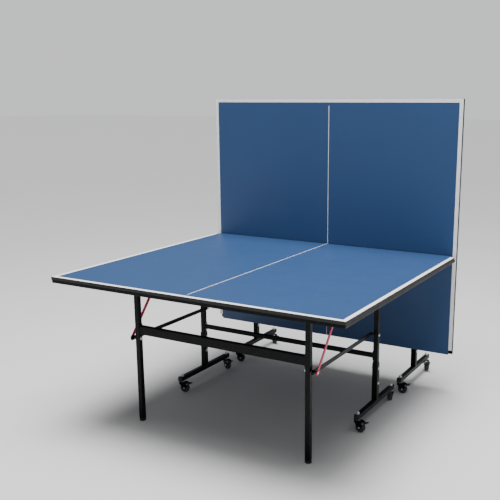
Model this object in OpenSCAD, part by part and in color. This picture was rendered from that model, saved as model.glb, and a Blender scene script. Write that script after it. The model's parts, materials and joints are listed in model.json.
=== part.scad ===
// Two-piece roll-away table tennis table, in playback position: one half flat, the other half raised
// behind it as a rebound wall. X runs across the table, Y along it towards the raised half, Z is up,
// and the origin is on the floor under the middle of the whole table.
// Each half is drawn in its own half frame: x across, y outwards from the net edge, z up from the floor.

/* [Playing surface] */
// Width of the table
table_w = 1525; // [1400:5:1525]
// Length of one half, from the net edge to the end line
half_len = 1370; // [1300:5:1370]
// Height of the playing surface
surface_h = 760; // [740:1:780]
// Thickness of the board
board_t = 15; // [12:1:19]
// Width of the notch cut out of the board at each end of the net edge
notch_w = 22; // [15:1:30]
// Length of that notch along the side of the board
notch_len = 25; // [15:1:35]

/* [Edge frame] */
// Width of the channel rails under the rim of the board
rail_w = 30; // [25:1:35]
// Height of the channel rails
rail_h = 15; // [12:1:18]
// Sheet thickness of the channel rails
rail_t = 1.5; // [1.2:0.1:2]
// How far the rails stand back from the rim of the board
rail_inset = 2; // [1:0.5:4]

/* [Legs] */
// Outside size of the square leg tube
leg_size = 25; // [22:1:25]
// Wall of all the square tubes
tube_t = 1.5; // [1.2:0.1:2]
// Distance of each leg from the middle of the table
leg_x = 470; // [460:1:475]
// Distance of the legs from the net edge
leg_y = 1110; // [1080:5:1130]
// Height of the middle of the cross panel between the legs
panel_z = 476; // [470:1:520]
// Height of the cross panel
panel_h = 50; // [40:1:56]
// Thickness of the cross panel
panel_t = 18; // [14:1:20]
// Diameter of the levelling foot
foot_d = 32; // [28:1:40]
// Height of the levelling foot below the leg tube, and how far it screws out
foot_h = 12; // [10:1:15]

/* [Folding] */
// Height of the pivots that the board folds about
hinge_z = 700; // [698:1:704]
// Distance of those pivots from the net edge
hinge_y = 493; // [485:1:500]
// Height of the pivots at both ends of the stay
stay_z = 430; // [425:1:440]
// Width of the flat bar stay
stay_w = 20; // [16:1:22]
// Gap between the net edge of the flat half and the face of the raised half
rebound_gap = 11; // [9:1:20]

/* [Lock bars] */
// Slope of the lock bar when it holds the leg
lock_angle = 50; // [46:1:54]
// Height of the lock bar's pivot under the board
lock_z = 712; // [708:1:714]
// Width of the lock bar
lock_w = 16; // [14:1:20]

/* [Carriage] */
// Distance of each upright from the middle of the table
post_x = 527; // [525:1:530]
// Outside size of the square upright tube
post_size = 25; // [24:1:25]
// Outside size of the lower sleeve that holds the upright
sleeve_size = 30; // [29.5:0.5:32]
// Height of the top of the sleeve
sleeve_top = 284; // [270:1:290]
// Outside size of the floor beam tube
beam_size = 25; // [22:1:25]
// Height of the crossbeam between the uprights
cross_z = 320; // [312:1:340]
// Outside size of the crossbeam tube
cross_size = 22; // [20:1:25]

/* [Casters] */
// Diameter of the caster wheel
wheel_d = 50; // [48:1:50]
// Width of the caster wheel
wheel_w = 20; // [18:1:20]
// Distance of each caster from the upright, along the floor beam
caster_reach = 213; // [200:1:213]
// Distance from the swivel's middle back to the axle
trail = 16; // [14:1:17]

/* [Hidden] */
HALVES = ["front", "rear"];
SIDES = ["left", "right"];
PLACES = ["outer", "inner"];
HALF_NODES = [
    "board", "edge_frame", "hinge_brackets", "top_bolts",
    "left_leg", "right_leg", "leg_panel", "leg_bolts", "left_foot", "right_foot",
    "left_stay", "right_stay", "left_lock_bar", "right_lock_bar",
    "uprights", "floor_frames", "crossbeam", "carriage_bolts"
];
CASTER_NODES = ["fork", "wheel", "pedal"];

$fn = 32;
steel = "#1b1d20";
red = "#c2203a";
zinc = "#c9ccd0";
rubber = "#3a3c40";

// Gaps between pieces
running = 0.06;    // radial clearance of a pin that turns in a bore
snug = 0.3;        // clearance between neighbours that don't touch
plate_t = 3;       // thickness of bracket plates
corner_r = 3;      // outside corner radius of the tubes

// Heights
board_z = surface_h - board_t;
beam_z = 64;
beam_top = beam_z + beam_size;

// Pivot pins
hinge_r = 5;
pin_r = 4;

// Wood screws that hold the rails and brackets to the board
screw_r = 2.1;
screw_head_r = 4.3;
screw_head_h = 2.4;
screw_bite = 10;       // how far they go into the board
screw_step = 185;      // longest spacing along a rail
screw_inset = 20;      // from the rim of the board
screw_corner = 80;     // from the ends of a rail

// Planes in which the flat bars lie, measured from the middle of the table
bar_t = 5;
lock_t = 4;
stay_in = leg_x + leg_size / 2 + 13.5;
stay_out = stay_in + bar_t;
lock_in = post_x - 16;
lock_out = lock_in + lock_t;

// The lock bar's pivot is above and behind the leg's stay pivot
lock_len = (lock_z - stay_z) / sin(lock_angle);
lock_y = leg_y - lock_len * cos(lock_angle);
lock_open = 23.5;    // slant of the notch that lets the leg's pin out

// How far above and below the crossbeam's middle its bolts are
cross_bolt = 17;

// Where the screws go, as [x, y] in the half frame
rail_screws = concat(
    [for (x = spread(screw_corner - table_w / 2, table_w / 2 - screw_corner))
        for (y = [screw_inset, half_len - screw_inset]) [x, y]],
    [for (y = spread(screw_corner, half_len - screw_corner))
        for (s = [-1, 1]) [s * (table_w / 2 - screw_inset), y]]
);
bracket_screws = concat(
    [for (s = [-1, 1]) each fork_screws(s * post_x, hinge_y, post_size + 1)],
    [for (s = [-1, 1]) each fork_screws(s * leg_x, leg_y, leg_size + 1)],
    [for (s = [-1, 1]) [s * (lock_out + 21), lock_y]]
);

// Where the floor beam and its cap end
beam_half = caster_reach + 20;
cap_t = 3;

// Rest positions of the two halves
rear_hinge_y = rebound_gap + surface_h - hinge_z;
rear_reach = rear_hinge_y + beam_half + cap_t;
net_y = (half_len - rear_reach) / 2;
leg_swing = leg_y - hinge_y;

// Caster parts, in the caster's own frame: x trails behind the swivel, z is up from the floor
axle_r = 3;
axle_z = wheel_d / 2;
crown_z = 56.5;
crown_t = 3;
fork_in = wheel_w / 2 + 1.3;
fork_t = 2.5;
pedal_x = trail + 18;
pedal_z = 50;
pedal_up = 15;       // slope of the pedal when it is up
pedal_travel = 14;   // how far it turns when pressed
stem_r = 5;

// ---------- placing ----------

function side_sign(s) = s == "left" ? -1 : 1;
function fold(h) = h == "rear" ? 90 : 0;
function half_y(h) = h == "rear" ? net_y + rear_hinge_y - hinge_y : net_y;

// Half frame to table frame. The front half runs the other way, so it is mirrored.
module place_half(h) {
    translate([0, half_y(h), 0])
        mirror([0, h == "front" ? 1 : 0, 0])
            children();
}

// Turns a piece about an x axis through [y, z]
module turn_about(y, z, angle) {
    translate([0, y, z])
        rotate([angle, 0, 0])
            translate([0, -y, -z])
                children();
}

module place_top(h) {
    place_half(h) turn_about(hinge_y, hinge_z, fold(h)) children();
}

// The stays keep the legs upright, so the legs move without turning
module place_legs(h) {
    lift = leg_swing * sin(fold(h));
    back = leg_swing * (1 - cos(fold(h)));
    place_half(h) translate([0, -back, lift]) children();
}

module place_stay(h) {
    place_half(h) turn_about(hinge_y, stay_z, fold(h)) children();
}

// The lock bar swings up flat against the board as the half is raised
module place_lock(h) {
    place_top(h) turn_about(lock_y, lock_z, lock_angle * fold(h) / 90) children();
}

// ---------- shared shapes ----------

module rounded_square(size, r) {
    square([size - 2 * r, size], center = true);
    square([size, size - 2 * r], center = true);
    for (x = [-1, 1], y = [-1, 1])
        translate([x * (size / 2 - r), y * (size / 2 - r)])
            circle(r);
}

// Square tube from z = 0 to len, solid for the first `plug` and the last `plug`
module square_tube(size, len, plug = 0) {
    difference() {
        linear_extrude(len) rounded_square(size, corner_r);
        translate([0, 0, plug == 0 ? -1 : plug])
            linear_extrude(plug == 0 ? len + 2 : len - 2 * plug)
                rounded_square(size - 2 * tube_t, corner_r - tube_t);
    }
}

// Cylinder along x between two x values
module rod_x(x0, x1, r) {
    translate([min(x0, x1), 0, 0])
        rotate([0, 90, 0])
            cylinder(h = abs(x1 - x0), r = r);
}

// Low domed head along x that starts at x0 and points in direction dir
module head_x(x0, dir, r, h) {
    translate([x0, 0, 0])
        rotate([0, dir * 90, 0]) {
            cylinder(h = h * 0.5, r = r);
            translate([0, 0, h * 0.5]) cylinder(h = h * 0.5, r1 = r, r2 = r * 0.7);
        }
}

// Flat bar with round ends in the y-z plane, from y = 0 to len, x0 to x1
module flat_bar(x0, x1, w, len, over) {
    translate([x0, 0, 0])
        rotate([90, 0, 90])
            linear_extrude(x1 - x0) {
                translate([0, -w / 2]) square([len + over - w / 2, w]);
                circle(w / 2);
                translate([len + over - w / 2, 0]) circle(w / 2);
            }
}

// Wood screw pointing up, with its head just below z = 0
module wood_screw(shank) {
    translate([0, 0, -screw_head_h])
        cylinder(h = screw_head_h / 2, r1 = screw_head_r * 0.7, r2 = screw_head_r);
    translate([0, 0, -screw_head_h / 2])
        cylinder(h = screw_head_h / 2, r = screw_head_r);
    cylinder(h = shank, r = screw_r);
}

// Evenly spaced places from one end to the other, no further apart than screw_step
function spread(from, to) =
    let (gaps = ceil((to - from) / screw_step)) [for (i = [0:gaps]) from + i * (to - from) / gaps];

// Two screws beside each fork bracket, clear of its ears
function fork_screws(x, y, inside) = [for (d = [-1, 1]) [x + d * (inside / 2 + plate_t + 7), y]];

// ---------- the folding top ----------

module board() {
    color("#3f5f93")
        difference() {
            translate([-table_w / 2, 0, board_z]) cube([table_w, half_len, board_t]);
            for (s = [-1, 1])
                translate([s * (table_w / 2) - notch_w, -1, board_z - 1])
                    cube([2 * notch_w, notch_len + 1, board_t + 2]);
            for (p = concat(rail_screws, bracket_screws))
                translate([p.x, p.y, board_z - 1]) cylinder(h = screw_bite + 1.2, r = screw_r + running);
        }
}

// Channel rail along x with mitred ends, open inwards, outer face at y = 0
module mitred_rail(len) {
    difference() {
        cube([len, rail_w, rail_h]);
        translate([-1, rail_t, rail_t]) cube([len + 2, rail_w, rail_h - 2 * rail_t]);
        rotate([0, 0, 45]) translate([-rail_w, -0.1, -1]) cube([4 * rail_w, 2 * rail_w, rail_h + 2]);
        translate([len, 0, 0])
            rotate([0, 0, 45])
                translate([-0.1, -rail_w, -1]) cube([2 * rail_w, 4 * rail_w, rail_h + 2]);
    }
}

module edge_frame() {
    frame_w = table_w - 2 * rail_inset;
    frame_l = half_len - 2 * rail_inset;
    color(steel)
        difference() {
            translate([0, half_len / 2, board_z - rail_h])
                for (a = [0, 90, 180, 270]) {
                    len = a % 180 == 0 ? frame_w : frame_l;
                    depth = a % 180 == 0 ? frame_l : frame_w;
                    rotate([0, 0, a]) translate([-len / 2, -depth / 2, 0]) mitred_rail(len);
                }
            for (p = rail_screws)
                translate([p.x, p.y, board_z - rail_h - 1]) cylinder(h = rail_h + 2, r = screw_r + snug);
        }
}

// U bracket under the board that holds a tube of the given size between its ears
module u_bracket(inside, pivot_z, r) {
    ear_w = 34;
    web_w = inside + 2 * plate_t + 30;
    difference() {
        union() {
            translate([-web_w / 2, -ear_w / 2, board_z - plate_t]) cube([web_w, ear_w, plate_t]);
            for (s = [-1, 1])
                translate([s * (inside + plate_t) / 2, 0, 0]) {
                    translate([-plate_t / 2, -ear_w / 2, pivot_z])
                        cube([plate_t, ear_w, board_z - pivot_z]);
                    translate([0, 0, pivot_z]) rod_x(-plate_t / 2, plate_t / 2, ear_w / 2);
                }
        }
        translate([0, 0, pivot_z]) rod_x(-web_w, web_w, r + running);
        for (x = [-1, 1])
            translate([x * (web_w / 2 - 8), 0, board_z - plate_t - 1]) cylinder(h = plate_t + 2, r = 2.5);
    }
}

// Angle bracket on the outer side of the lock bar
module lock_bracket() {
    ear_w = 26;
    foot_w = 30;
    x0 = lock_out + 1;
    difference() {
        union() {
            translate([x0, -ear_w / 2, lock_z]) cube([plate_t, ear_w, board_z - lock_z]);
            translate([0, 0, lock_z]) rod_x(x0, x0 + plate_t, ear_w / 2);
            translate([x0, -ear_w / 2, board_z - plate_t]) cube([foot_w, ear_w, plate_t]);
        }
        translate([0, 0, lock_z]) rod_x(x0 - 1, x0 + plate_t + 1, pin_r + running);
        translate([x0 + 20, 0, board_z - plate_t - 1]) cylinder(h = plate_t + 2, r = 2.5);
    }
}

module hinge_brackets() {
    color(steel) {
        for (s = [-1, 1]) {
            translate([s * post_x, hinge_y, 0]) u_bracket(post_size + 1, hinge_z, hinge_r);
            translate([s * leg_x, leg_y, 0]) u_bracket(leg_size + 1, hinge_z, pin_r);
        }
        for (s = [0, 1])
            mirror([s, 0, 0]) translate([0, lock_y, 0]) lock_bracket();
    }
}

module top_bolts() {
    color(zinc)
        for (s = [0, 1])
            mirror([s, 0, 0]) {
                translate([post_x, hinge_y, hinge_z]) {
                    ear = post_size / 2 + 0.5 + plate_t;
                    rod_x(-ear, ear, hinge_r);
                    head_x(-ear, -1, 9, 3);
                    head_x(ear, 1, 9, 5);
                }
                translate([leg_x, leg_y, hinge_z]) {
                    ear = leg_size / 2 + 0.5 + plate_t;
                    rod_x(-ear, ear, pin_r);
                    head_x(-ear, -1, 8, 4);
                    head_x(ear, 1, 8, 4);
                }
                translate([0, lock_y, lock_z]) {
                    rod_x(lock_in - snug, lock_out + 1 + plate_t, pin_r);
                    head_x(lock_in - snug, -1, 7, 3);
                    head_x(lock_out + 1 + plate_t, 1, 7, 5);
                }
            }
    color(zinc) {
        for (p = rail_screws)
            translate([p.x, p.y, board_z - rail_h]) wood_screw(rail_h + screw_bite);
        for (p = bracket_screws)
            translate([p.x, p.y, board_z - plate_t]) wood_screw(plate_t + screw_bite);
    }
}

// ---------- the folding legs ----------

module leg() {
    top = hinge_z + leg_size / 2;
    plug = 40;
    color(steel)
        difference() {
            translate([0, 0, foot_h]) square_tube(leg_size, top - foot_h, plug);
            translate([0, 0, foot_h - 1]) cylinder(h = plug - 4, r = pin_r + running);
            for (z = [stay_z, hinge_z])
                translate([0, 0, z])
                    rod_x(-leg_size, leg_size, pin_r + (z == hinge_z ? running : snug));
        }
}

// Flat oval tube with a flange at each end
module leg_panel() {
    flange_t = 3;
    inner = leg_x - leg_size / 2;
    len = 2 * (inner - flange_t);
    color(steel)
        translate([0, leg_y, panel_z]) {
            rotate([90, 0, 90])
                translate([0, 0, -len / 2])
                    linear_extrude(len)
                        difference() {
                            oval(panel_t, panel_h);
                            oval(panel_t - 2 * tube_t, panel_h - 2 * tube_t);
                        }
            for (s = [-1, 1])
                translate([s * (inner - flange_t / 2), 0, 0])
                    cube([flange_t, leg_size - 4, panel_h + 10], center = true);
        }
}

module oval(w, h) {
    square([w, h - w], center = true);
    for (s = [-1, 1])
        translate([0, s * (h - w) / 2]) circle(w / 2);
}

// Bolt through each leg that carries the stay and, at its outer end, the lock bar's notch
module leg_bolts() {
    inner = leg_x - leg_size / 2;
    outer = leg_x + leg_size / 2;
    color(zinc)
        for (s = [0, 1])
            mirror([s, 0, 0])
                translate([0, leg_y, stay_z]) {
                    rod_x(inner, lock_out + snug, pin_r);
                    head_x(inner, -1, 8, 6);
                    rod_x(outer, stay_in - snug, 7);
                    rod_x(stay_out + snug, lock_in - snug, 7);
                    head_x(lock_out + snug, 1, 8, 5);
                }
}

module foot() {
    collar = 2.5;
    color(rubber) {
        cylinder(h = 2, r1 = foot_d / 2 - 1, r2 = foot_d / 2);
        translate([0, 0, 2]) cylinder(h = foot_h - collar - 2.5, r = foot_d / 2);
        translate([0, 0, foot_h - collar - 0.5]) cylinder(h = collar, r = 10);
        cylinder(h = foot_h + 32, r = pin_r);
    }
}

// ---------- stays and lock bars ----------

// Flat bar from the upright to the leg that swings the leg as the board folds
module stay() {
    over = 27;
    color(steel)
        translate([0, hinge_y, stay_z])
            difference() {
                flat_bar(stay_in, stay_out, stay_w, leg_swing, over);
                rod_x(stay_in - 1, stay_out + 1, pin_r + running);
                translate([0, leg_swing, 0]) rod_x(stay_in - 1, stay_out + 1, pin_r + 0.6);
            }
}

// Red bar whose notch drops over the leg's pin and stops the leg folding
module lock_bar() {
    play = 0.6;
    slot = 2 * (pin_r + play);
    color(red)
        translate([0, lock_y, lock_z])
            rotate([-lock_angle, 0, 0])
                difference() {
                    union() {
                        flat_bar(lock_in, lock_out, lock_w, lock_len, 14);
                        rod_x(lock_in, lock_out, 10);
                    }
                    rod_x(lock_in - 1, lock_out + 1, pin_r + running);
                    translate([0, lock_len, 0]) {
                        rod_x(lock_in - 1, lock_out + 1, slot / 2);
                        rotate([-lock_open, 0, 0])
                            translate([lock_in - 1, -slot / 2, -lock_w])
                                cube([lock_t + 2, slot, lock_w]);
                    }
                }
}

// ---------- the wheeled carriage ----------

module uprights() {
    bottom = beam_top + 20;
    color(steel)
        for (s = [-1, 1])
            translate([s * post_x, hinge_y, 0])
                difference() {
                    translate([0, 0, bottom]) square_tube(post_size, hinge_z + post_size / 2 - bottom, 2);
                    translate([0, 0, hinge_z]) rod_x(-post_size, post_size, hinge_r + running);
                    translate([0, 0, stay_z]) rod_x(-post_size, post_size, pin_r + snug);
                    for (z = [sleeve_top - 28, sleeve_top - 107])
                        translate([0, 0, z]) rod_x(-post_size, post_size, pin_r + snug);
                    for (z = [cross_z - cross_bolt, cross_z + cross_bolt])
                        translate([0, 0, z]) rod_x(-s * post_size, 0, 3 + snug);
                }
}

// Floor beam with a caster bore in each end, and the sleeve that stands on it
module floor_frames() {
    end_plug = 42;
    sleeve_bore = post_size + 0.4;
    color(steel)
        for (s = [-1, 1])
            translate([s * post_x, hinge_y, 0])
                difference() {
                    union() {
                        translate([0, -beam_half, beam_z + beam_size / 2])
                            rotate([-90, 0, 0])
                                square_tube(beam_size, 2 * beam_half, end_plug);
                        for (e = [-1, 1])
                            translate([0, e * (beam_half + cap_t / 2), beam_z + beam_size / 2])
                                cube([beam_size - 1, cap_t, beam_size - 1], center = true);
                        translate([0, 0, beam_top - 0.5])
                            linear_extrude(sleeve_top - beam_top + 0.5)
                                difference() {
                                    rounded_square(sleeve_size, corner_r + 1);
                                    rounded_square(sleeve_bore, corner_r);
                                }
                    }
                    for (e = [-1, 1])
                        translate([0, e * caster_reach, beam_z - 1])
                            cylinder(h = beam_size + 2, r = stem_r + snug);
                    for (z = [sleeve_top - 28, sleeve_top - 107])
                        translate([0, 0, z]) rod_x(-sleeve_size, sleeve_size, pin_r + snug);
                }
}

module crossbeam() {
    inner = post_x - post_size / 2;
    flange_t = 3;
    len = 2 * (inner - flange_t);
    color(steel)
        translate([0, hinge_y, cross_z]) {
            rotate([0, 90, 0])
                translate([0, 0, -len / 2])
                    square_tube(cross_size, len);
            for (s = [-1, 1])
                translate([s * (inner - flange_t / 2), 0, 0])
                    difference() {
                        cube([flange_t, post_size, 46], center = true);
                        for (z = [-cross_bolt, cross_bolt])
                            translate([0, 0, z]) rod_x(-flange_t, flange_t, 3 + snug);
                    }
        }
}

// Bolts of one carriage: stay pivots, sleeve bolts, crossbeam bolts and caster stems
module carriage_bolts() {
    face = post_size / 2;
    sleeve = sleeve_size / 2;
    color(zinc)
        for (s = [0, 1])
            mirror([s, 0, 0])
                translate([post_x, hinge_y, 0]) {
                    translate([0, 0, stay_z]) {
                        rod_x(stay_in - post_x - snug, face, pin_r);
                        rod_x(stay_out - post_x + snug, -face, 7);
                        head_x(stay_in - post_x - snug, -1, 7, 4);
                        head_x(face, 1, 8, 6);
                    }
                    for (z = [sleeve_top - 28, sleeve_top - 107])
                        translate([0, 0, z]) {
                            rod_x(-sleeve, sleeve, pin_r);
                            head_x(sleeve, 1, 8, 6);
                            head_x(-sleeve, -1, 8, 5);
                        }
                    for (z = [cross_z - cross_bolt, cross_z + cross_bolt])
                        translate([-face, 0, z]) {
                            rod_x(-3, 8, 3);
                            head_x(-3, -1, 5.5, 4);
                        }
                    for (e = [-1, 1])
                        translate([0, e * caster_reach, 0]) caster_stem();
                }
}

// Bolt that the caster turns on, with its nut on top of the floor beam
module caster_stem() {
    head_t = 3.6;
    nut_h = 12;
    translate([0, 0, crown_z - snug - head_t]) cylinder(h = head_t, r = 8);
    translate([0, 0, crown_z - snug - 1]) cylinder(h = beam_top - crown_z + 2, r = stem_r);
    translate([0, 0, beam_top]) cylinder(h = nut_h * 0.6, r = 8.5);
    translate([0, 0, beam_top + nut_h * 0.6]) cylinder(h = nut_h * 0.4, r1 = 8.5, r2 = 5);
}

// ---------- casters ----------

// Which way each caster trails, in degrees from +x
function heading(h, s, p) =
    h == "front" ? (s == "left" ? (p == "outer" ? 8 : -20) : (p == "outer" ? -8 : 125))
                 : (s == "left" ? (p == "outer" ? -35 : 20) : (p == "outer" ? -55 : 4));

// The outer casters are under the end line side of the upright, the inner ones under the net side
function caster_y(h, p) =
    half_y(h) + (h == "front" ? -1 : 1) * (hinge_y + (p == "outer" ? 1 : -1) * caster_reach);

module place_caster(h, s, p) {
    translate([side_sign(s) * post_x, caster_y(h, p), 0])
        rotate([0, 0, heading(h, s, p)])
            children();
}

// Stamped fork with its axle, its pedal pin and the washer that it turns under the beam on
module fork() {
    color(steel)
        difference() {
            union() {
                translate([-14, -fork_in - fork_t, crown_z])
                    cube([trail + 22, 2 * (fork_in + fork_t), crown_t]);
                translate([0, 0, crown_z + crown_t])
                    cylinder(h = beam_z - snug - crown_z - crown_t, r = 12);
                for (s = [0, 1])
                    mirror([0, s, 0])
                        translate([0, fork_in + fork_t, 0])
                            rotate([90, 0, 0])
                                linear_extrude(fork_t) fork_cheek();
                along_y(trail, axle_z, axle_r, fork_in + fork_t + 2);
                along_y(pedal_x, pedal_z, 2, fork_in + fork_t);
            }
            translate([0, 0, crown_z - 1]) cylinder(h = beam_z - crown_z + 2, r = stem_r + running);
        }
}

module fork_cheek() {
    top = crown_z + crown_t;
    polygon([
        [-14, top], [-14, top - 9], [trail - 9, axle_z], [trail + 9, axle_z],
        [pedal_x - 2, pedal_z - 4.6], [pedal_x + 2, pedal_z + 4.6], [trail + 8, top]
    ]);
    translate([trail, axle_z]) circle(9);
    translate([pedal_x, pedal_z]) circle(5);
}

// Cylinder along y through [x, z], reaching half on each side
module along_y(x, z, r, half) {
    translate([x, 0, z])
        rotate([90, 0, 0])
            cylinder(h = 2 * half, r = r, center = true);
}

module wheel() {
    r = wheel_d / 2;
    w = wheel_w / 2;
    round_r = 4;
    dish = 2.5;
    color(rubber)
        translate([trail, 0, axle_z])
            rotate([90, 0, 0])
                rotate_extrude($fn = 64) {
                    translate([axle_r + running, -w]) square([9 - axle_r - running, 2 * w]);
                    translate([8, -w + dish]) square([r - 14, 2 * (w - dish)]);
                    translate([r - 8, -w]) square([8 - round_r, 2 * w]);
                    translate([r - round_r - 1, -w + round_r]) square([round_r + 1, 2 * (w - round_r)]);
                    for (s = [-1, 1])
                        translate([r - round_r, s * (w - round_r)]) circle(round_r);
                }
}

// Brake pedal: a barrel on the fork's pin, a cam that nears the wheel when pressed, and a foot tab
module pedal() {
    arm = 2 * fork_in - 0.6;
    tab_w = 2 * (fork_in + fork_t);
    tab_in = 7;
    tab_len = 24 - tab_in;
    tab_t = 4;
    cam_angle = atan2(axle_z - pedal_z, trail - pedal_x) + pedal_travel;
    color("#2a2c30")
        difference() {
            translate([pedal_x, 0, pedal_z]) {
                rotate([90, 0, 0]) cylinder(h = arm, r = 4.5, center = true);
                rotate([0, -cam_angle, 0])
                    translate([3.5, 0, 0])
                        rotate([90, 0, 0]) cylinder(h = arm - 6, r = 2, center = true);
                rotate([0, -pedal_up, 0]) {
                    translate([2.5, -arm / 2 + 1.5, -tab_t / 2]) cube([tab_in, arm - 3, tab_t - 0.6]);
                    translate([tab_in, -tab_w / 2, -tab_t / 2]) cube([tab_len, tab_w, tab_t]);
                }
            }
            along_y(pedal_x, pedal_z, 2 + running, arm);
        }
}

// ---------- the table ----------

for (h = HALVES) {
    place_top(h) board();
    place_top(h) edge_frame();
    place_top(h) hinge_brackets();
    place_top(h) top_bolts();
    place_legs(h) leg_panel();
    place_legs(h) leg_bolts();
    place_half(h) uprights();
    place_half(h) floor_frames();
    place_half(h) crossbeam();
    place_half(h) carriage_bolts();
    for (s = SIDES) {
        place_legs(h) translate([side_sign(s) * leg_x, leg_y, 0]) leg();
        place_legs(h) translate([side_sign(s) * leg_x, leg_y, 0]) foot();
        place_stay(h) mirror([s == "left" ? 1 : 0, 0, 0]) stay();
        place_lock(h) mirror([s == "left" ? 1 : 0, 0, 0]) lock_bar();
        for (p = PLACES) {
            place_caster(h, s, p) fork();
            place_caster(h, s, p) wheel();
            place_caster(h, s, p) pedal();
        }
    }
}
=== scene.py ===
import bpy
import bmesh
import json
import math
from mathutils import Matrix, Vector
from mathutils.geometry import tessellate_polygon


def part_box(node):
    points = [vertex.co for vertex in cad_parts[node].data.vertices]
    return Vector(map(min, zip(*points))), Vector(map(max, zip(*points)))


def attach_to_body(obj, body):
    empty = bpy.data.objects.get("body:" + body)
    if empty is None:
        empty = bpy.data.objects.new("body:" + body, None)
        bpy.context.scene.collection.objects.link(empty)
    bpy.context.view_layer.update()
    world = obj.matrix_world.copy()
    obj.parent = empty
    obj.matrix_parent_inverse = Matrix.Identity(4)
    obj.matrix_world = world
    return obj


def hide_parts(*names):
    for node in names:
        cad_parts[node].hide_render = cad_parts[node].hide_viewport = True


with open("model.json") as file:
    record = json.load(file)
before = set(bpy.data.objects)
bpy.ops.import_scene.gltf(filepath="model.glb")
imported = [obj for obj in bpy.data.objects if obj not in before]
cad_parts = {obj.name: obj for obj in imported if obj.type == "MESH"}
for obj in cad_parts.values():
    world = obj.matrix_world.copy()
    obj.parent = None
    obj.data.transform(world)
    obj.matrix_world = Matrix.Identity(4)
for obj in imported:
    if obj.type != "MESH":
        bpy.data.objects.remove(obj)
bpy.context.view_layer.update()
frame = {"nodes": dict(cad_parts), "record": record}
joints = {j["name"]: j for j in frame["record"]["behaviour"]["joints"]}
halves = ("front", "rear")
sides = (("left", -1), ("right", 1))
print("frame loaded:", len(frame["nodes"]), "parts")


# Places and sizes come from the frame, in metres.
def jointAt(name):
    return Vector(joints[name]["pos_m"])


boardLow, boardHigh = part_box("front_board")
netY = boardHigh.y
tableWidth = boardHigh.x - boardLow.x
halfLength = boardHigh.y - boardLow.y
topZ = boardHigh.z
underZ = boardLow.z
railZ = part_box("front_edge_frame")[0].z
hingeY = netY - jointAt("front_fold").y
hingeZ = jointAt("front_fold").z
legY = netY - jointAt("front_legs_fold").y
stayZ = jointAt("front_left_stay_swing").z
lockY = netY - jointAt("front_left_lock_lift").y
lockZ = jointAt("front_left_lock_lift").z
lockSlope = math.atan2(lockZ - stayZ, legY - lockY)
lockLength = math.hypot(lockZ - stayZ, legY - lockY)
postX = abs(jointAt("front_left_outer_swivel").x)
casterReach = netY - hingeY - jointAt("front_left_outer_swivel").y
stayX = [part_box("front_right_stay")[i].x for i in (0, 1)]
lockX = [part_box("front_right_lock_bar")[i].x for i in (0, 1)]
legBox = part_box("front_right_leg")
legX = (legBox[0].x + legBox[1].x) / 2
tubeSize = legBox[1].x - legBox[0].x
legFoot = legBox[0].z
beamLow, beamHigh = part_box("front_floor_frames")
sleeveTop = beamHigh.z
sleeveSize = 2 * (beamHigh.x - postX)
beamHalf = (beamHigh.y - beamLow.y) / 2
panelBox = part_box("front_leg_panel")
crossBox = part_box("front_crossbeam")


def aboutX(y, z, degrees):
    turn = Matrix.Rotation(math.radians(degrees), 4, "X")
    return Matrix.Translation((0, y, z)) @ turn @ Matrix.Translation((0, -y, -z))


# Each half is drawn lying flat with y outwards from the net edge, then put where it rests.
# The front half is turned round, not mirrored, so its left side is drawn at +x.
def restPlace(half, group):
    if half == "front":
        return Matrix.Translation((0, netY, 0)) @ Matrix.Rotation(math.pi, 4, "Z")
    base = Matrix.Translation((0, jointAt("rear_fold").y - hingeY, 0))
    top = base @ aboutX(hingeY, hingeZ, 90)
    return {
        "carriage": base,
        "top": top,
        "legs": base @ Matrix.Translation((0, hingeY - legY, legY - hingeY)),
        "stay": base @ aboutX(hingeY, stayZ, 90),
        "lock": top @ aboutX(lockY, lockZ, math.degrees(lockSlope)),
    }[group]


def drawnSign(half, sign):
    return -sign if half == "front" else sign


# Points of outlines in a plane, then the solids that stand on them

def arc(cx, cy, radius, start, end, steps):
    angles = [math.radians(start + (end - start) * i / steps) for i in range(steps + 1)]
    return [(cx + radius * math.cos(a), cy + radius * math.sin(a)) for a in angles]


def ring(cx, cy, radius, steps=32):
    return arc(cx, cy, radius, 0, 360, steps)[:-1]


def roundRect(width, height, radius, steps=4, cx=0, cy=0):
    points = []
    for sx, sy, start in ((1, 1, 0), (-1, 1, 90), (-1, -1, 180), (1, -1, 270)):
        x, y = cx + sx * (width / 2 - radius), cy + sy * (height / 2 - radius)
        points += arc(x, y, radius, start, start + 90, steps)
    return points


# Height h of an outline point (a, b) is measured along the given axis
def along(axis, a, b, h):
    return Vector({"x": (h, a, b), "y": (a, h, b), "z": (a, b, h)}[axis])


# A plate or bar cut from outlines, the first one its rim and the others its holes
def plate(bm, outlines, low, high, axis="z", slot=0):
    layers = []
    for h in sorted((low, high)):
        loops = [[bm.verts.new(along(axis, a, b, h)) for a, b in outline] for outline in outlines]
        layers.append(loops)
        if len(loops) == 1:
            bm.faces.new(loops[0]).material_index = slot
            continue
        corners = [v for loop in loops for v in loop]
        for triangle in tessellate_polygon([[v.co for v in loop] for loop in loops]):
            bm.faces.new([corners[i] for i in triangle]).material_index = slot
    for below, above in zip(*layers):
        for i in range(len(below)):
            k = (i + 1) % len(below)
            bm.faces.new((below[i], below[k], above[k], above[i])).material_index = slot


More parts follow.
